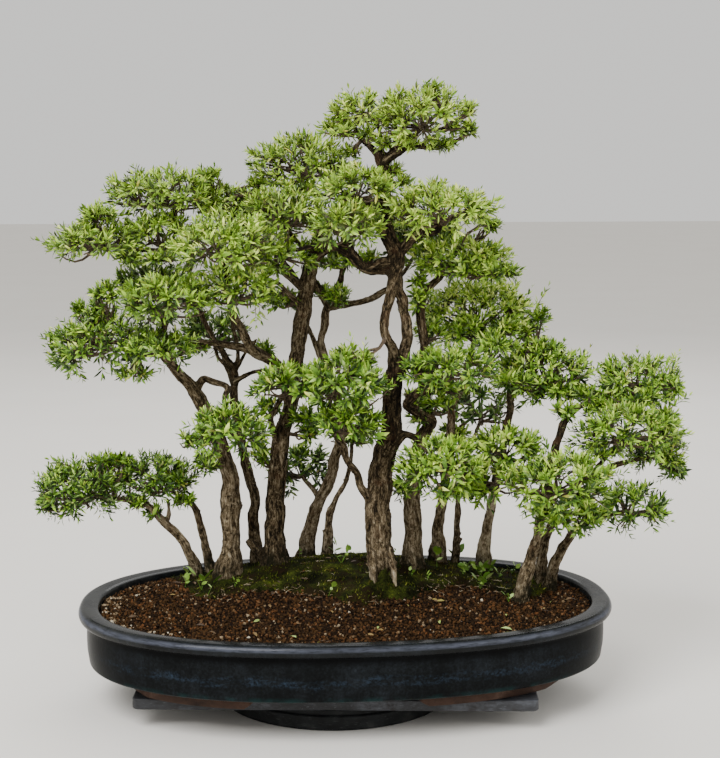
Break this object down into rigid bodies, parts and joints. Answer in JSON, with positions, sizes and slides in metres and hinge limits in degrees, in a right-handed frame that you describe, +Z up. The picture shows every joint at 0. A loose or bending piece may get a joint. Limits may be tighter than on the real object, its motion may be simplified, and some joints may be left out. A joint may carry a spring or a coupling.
{
  "type": "serissa bonsai",
  "caption": "Forest planting of serissa trees with clouds of small leaves on bare curved trunks, in an oval glazed pot on a flat board and a low round turntable.",
  "frame": {"origin": "on the surface that the turntable stands on, straight under the middle of the pot", "axes": "+Z up, +X along the pot's long axis, +Y to the back of the planting"},
  "size_m": [0.9835, 0.4915, 0.8818],
  "materials": {
    "glaze": "gloss",
    "soil": "matte",
    "screen": "matte",
    "board": "satin",
    "turntable": "matte",
    "bark": "matte",
    "dark_bark": "matte",
    "leaf": "satin",
    "shade_leaf": "satin",
    "weed": "satin"
  },
  "bodies": {
    "root": {"turntable_disc": "turntable", "stand_board": "board", "pot": "glaze", "drain_screen_left": "screen", "drain_screen_right": "screen", "soil": "soil", "tree_far_left": "bark", "tree_left_upright": "dark_bark", "tree_left_major": "bark", "tree_left_slender": "dark_bark", "tree_left_centre": "dark_bark", "tree_back_left": "bark", "tree_back_thin": "bark", "tree_main": "bark", "tree_right_centre": "bark", "tree_back_right": "dark_bark", "tree_thin_right": "dark_bark", "tree_right": "dark_bark", "tree_right_front": "bark", "tree_far_right_back": "bark", "tree_far_right_front": "bark", "weed_left": "weed", "weed_middle": "weed", "weed_right": "weed", "apex_leaves": "leaf", "upper_right_leaves": "leaf", "upper_left_leaves": "leaf", "upper_back_leaves": "shade_leaf", "crown_left_top_leaves": "leaf", "crown_left_leaves": "leaf", "crown_left_back_leaves": "shade_leaf", "crown_right_back_leaves": "shade_leaf", "left_top_leaves": "leaf", "left_wing_leaves": "leaf", "left_front_leaves": "leaf", "left_middle_leaves": "leaf", "left_low_leaves": "leaf", "left_back_leaves": "shade_leaf", "left_behind_leaves": "shade_leaf", "right_upper_leaves": "leaf", "right_back_leaves": "leaf", "right_middle_leaves": "leaf", "right_shoulder_leaves": "leaf", "far_right_top_leaves": "leaf", "far_right_leaves": "leaf", "far_right_tip_leaves": "leaf", "right_front_leaves": "leaf", "far_right_low_leaves": "leaf", "centre_left_leaves": "leaf", "centre_leaves": "leaf", "left_inner_leaves": "leaf", "low_back_leaves": "shade_leaf", "low_left_leaves": "leaf", "low_far_left_leaves": "leaf", "right_inner_leaves": "leaf", "right_low_leaves": "leaf", "right_inner_back_leaves": "shade_leaf"}
  },
  "joints": []
}
